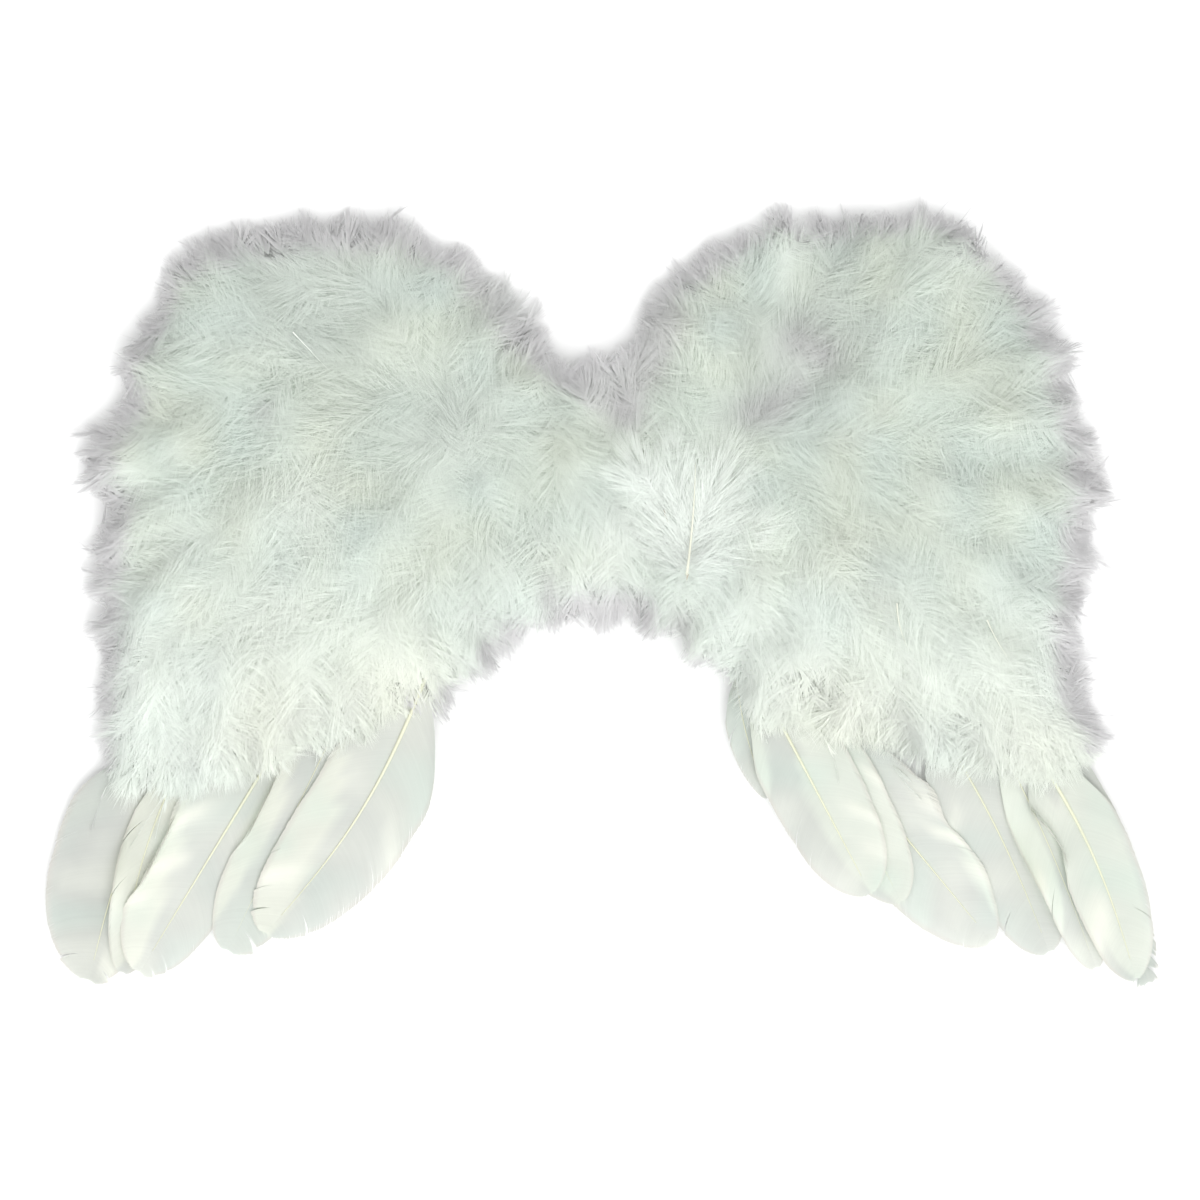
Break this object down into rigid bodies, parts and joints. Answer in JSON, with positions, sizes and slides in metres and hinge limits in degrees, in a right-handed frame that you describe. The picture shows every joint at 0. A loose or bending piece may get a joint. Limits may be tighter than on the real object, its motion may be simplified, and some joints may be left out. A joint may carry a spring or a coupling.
{
  "type": "feathered costume wings",
  "caption": "Pair of small costume angel wings: deep white marabou down on felt, long goose quills along the lower edges, and elastic shoulder loops behind.",
  "frame": {"origin": "centre of the back pad's underside, which lies on the surface and in use between the shoulder blades", "axes": "+X to the wing on the right as the feather side is seen, +Y to the shoulder edge, +Z out of the feather side"},
  "size_m": [0.5005, 0.3564, 0.0407],
  "materials": {
    "down": "deep soft marabou down, white with a faint cool green cast",
    "quill": "satin goose quill, cream white with pale yellow shafts",
    "felt": "matt white felt",
    "elastic": "ribbed white elastic"
  },
  "bodies": {
    "root": {"back_pad": "felt", "felt_backing_left": "felt", "felt_backing_right": "felt", "shoulder_strap_left": "elastic", "shoulder_strap_right": "elastic", "down_left": "down", "down_right": "down", "down_centre": "down", "shaft_plume": "down", "quill_left_1": "quill", "quill_left_2": "quill", "quill_left_3": "quill", "quill_left_4": "quill", "quill_left_5": "quill", "quill_right_1": "quill", "quill_right_2": "quill", "quill_right_3": "quill", "quill_right_4": "quill", "quill_right_5": "quill", "quill_right_6": "quill", "quill_right_7": "quill", "quill_right_8": "quill"}
  },
  "joints": []
}
